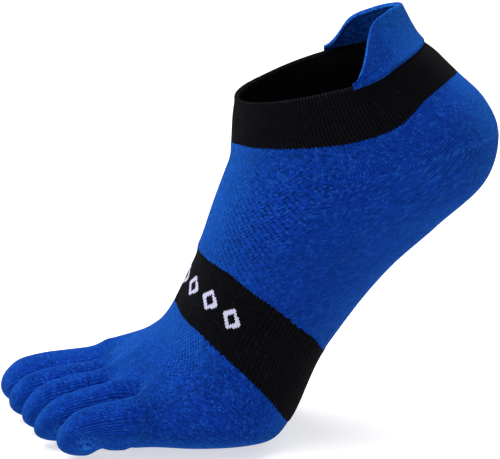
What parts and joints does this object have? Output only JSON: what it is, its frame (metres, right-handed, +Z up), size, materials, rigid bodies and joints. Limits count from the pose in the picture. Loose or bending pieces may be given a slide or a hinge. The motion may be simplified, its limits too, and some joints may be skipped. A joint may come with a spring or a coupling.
{
  "type": "toe sock",
  "caption": "Low-cut knitted sport sock with a separate pocket for each toe, an elastic arch band, a ribbed cuff and a heel tab, in its worn shape.",
  "frame": {"origin": "centre of the ankle opening at the rim of the cuff, where the ankle goes in and holds the sock", "axes": "+X towards the heel, so the toes point to -X, +Y towards the big toe side, +Z up"},
  "size_m": [0.2206, 0.0973, 0.1992],
  "materials": {
    "blue_knit": "royal blue cotton jersey knit, matt",
    "black_rib": "black elastic rib knit, matt"
  },
  "bodies": {
    "root": {"heel_tab": "blue_knit", "cuff": "black_rib", "heel_and_instep": "blue_knit", "arch_band": "black_rib", "forefoot": "blue_knit", "big_toe_pocket": "blue_knit", "second_toe_pocket": "blue_knit", "third_toe_pocket": "blue_knit", "fourth_toe_pocket": "blue_knit", "little_toe_pocket": "blue_knit"}
  },
  "joints": []
}
